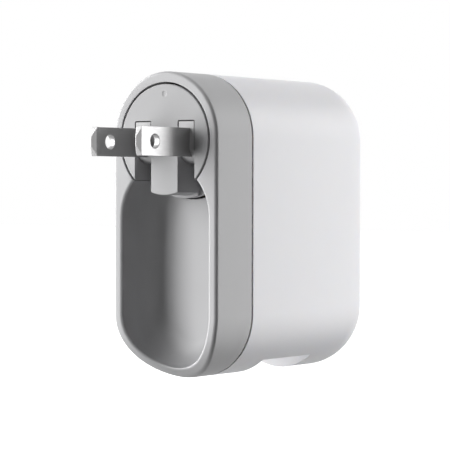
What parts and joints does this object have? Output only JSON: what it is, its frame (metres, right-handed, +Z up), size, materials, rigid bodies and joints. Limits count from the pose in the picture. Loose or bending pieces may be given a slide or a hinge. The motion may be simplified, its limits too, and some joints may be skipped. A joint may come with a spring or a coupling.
{
  "type": "usb wall charger",
  "caption": "Tall rounded wall charger with flat mains blades that fold into a finger scoop, and USB sockets in a recess underneath.",
  "frame": {"origin": "centre of the rounded outline, on the plane of the grey rim face that meets the wall socket", "axes": "+Z up as it hangs in a wall socket; the blades point along -Y and the body runs back along +Y; +X is to the right seen from the wall side looking along +Y"},
  "size_m": [0.0294, 0.0823, 0.0688],
  "materials": {
    "white_plastic": "smooth satin white polycarbonate",
    "grey_plastic": "fine matte grey polycarbonate",
    "pale_grey_plastic": "satin pale grey",
    "blade_steel": "nickel-plated, lightly polished",
    "port_steel": "bright tinned sheet",
    "spring_steel": "plain",
    "screw_steel": "zinc plated",
    "contact_brass": "plain",
    "port_tongue": "moulded black",
    "dark_insulation": "moulded black",
    "board": "green board",
    "ferrite": "dull dark grey",
    "copper_winding": "enamelled copper",
    "yellow_plastic": "moulded yellow",
    "capacitor_sleeve": "shrink sleeve",
    "blue_ceramic": "dipped coating",
    "fuse_body": "moulded",
    "clear_film": "thin film"
  },
  "bodies": {
    "housing": {"front_shell": "white_plastic", "rear_cover": "grey_plastic", "blade_disc": "grey_plastic", "retaining_ring": "spring_steel", "contact_block": "dark_insulation", "plug_screws": "screw_steel", "left_contact": "contact_brass", "right_contact": "contact_brass", "usb_shell_near": "port_steel", "usb_shell_far": "port_steel", "usb_tongue_near": "port_tongue", "usb_tongue_far": "port_tongue", "usb_contacts_near": "contact_brass", "usb_contacts_far": "contact_brass", "port_board": "board", "board_link": "dark_insulation", "main_board": "board", "transformer_core": "ferrite", "transformer_bobbin": "dark_insulation", "transformer_winding": "yellow_plastic", "choke_core": "ferrite", "choke_windings": "copper_winding", "bulk_capacitors": "capacitor_sleeve", "output_capacitors": "capacitor_sleeve", "line_capacitor": "yellow_plastic", "safety_capacitor": "blue_ceramic", "mains_fuse": "fuse_body", "bridge_rectifier": "dark_insulation", "switching_controller": "dark_insulation", "optocoupler": "dark_insulation", "output_rectifier": "dark_insulation", "insulating_sheet": "clear_film"},
    "blade_unit": {"blade_carrier": "pale_grey_plastic", "left_blade": "blade_steel", "right_blade": "blade_steel"}
  },
  "joints": [
    {"name": "blade_fold", "type": "hinge", "parent": "housing", "child": "blade_unit", "pos_m": [0, 0.0044, 0.0185], "axis": [1, 0, 0], "range_deg": [0, 90]}
  ]
}
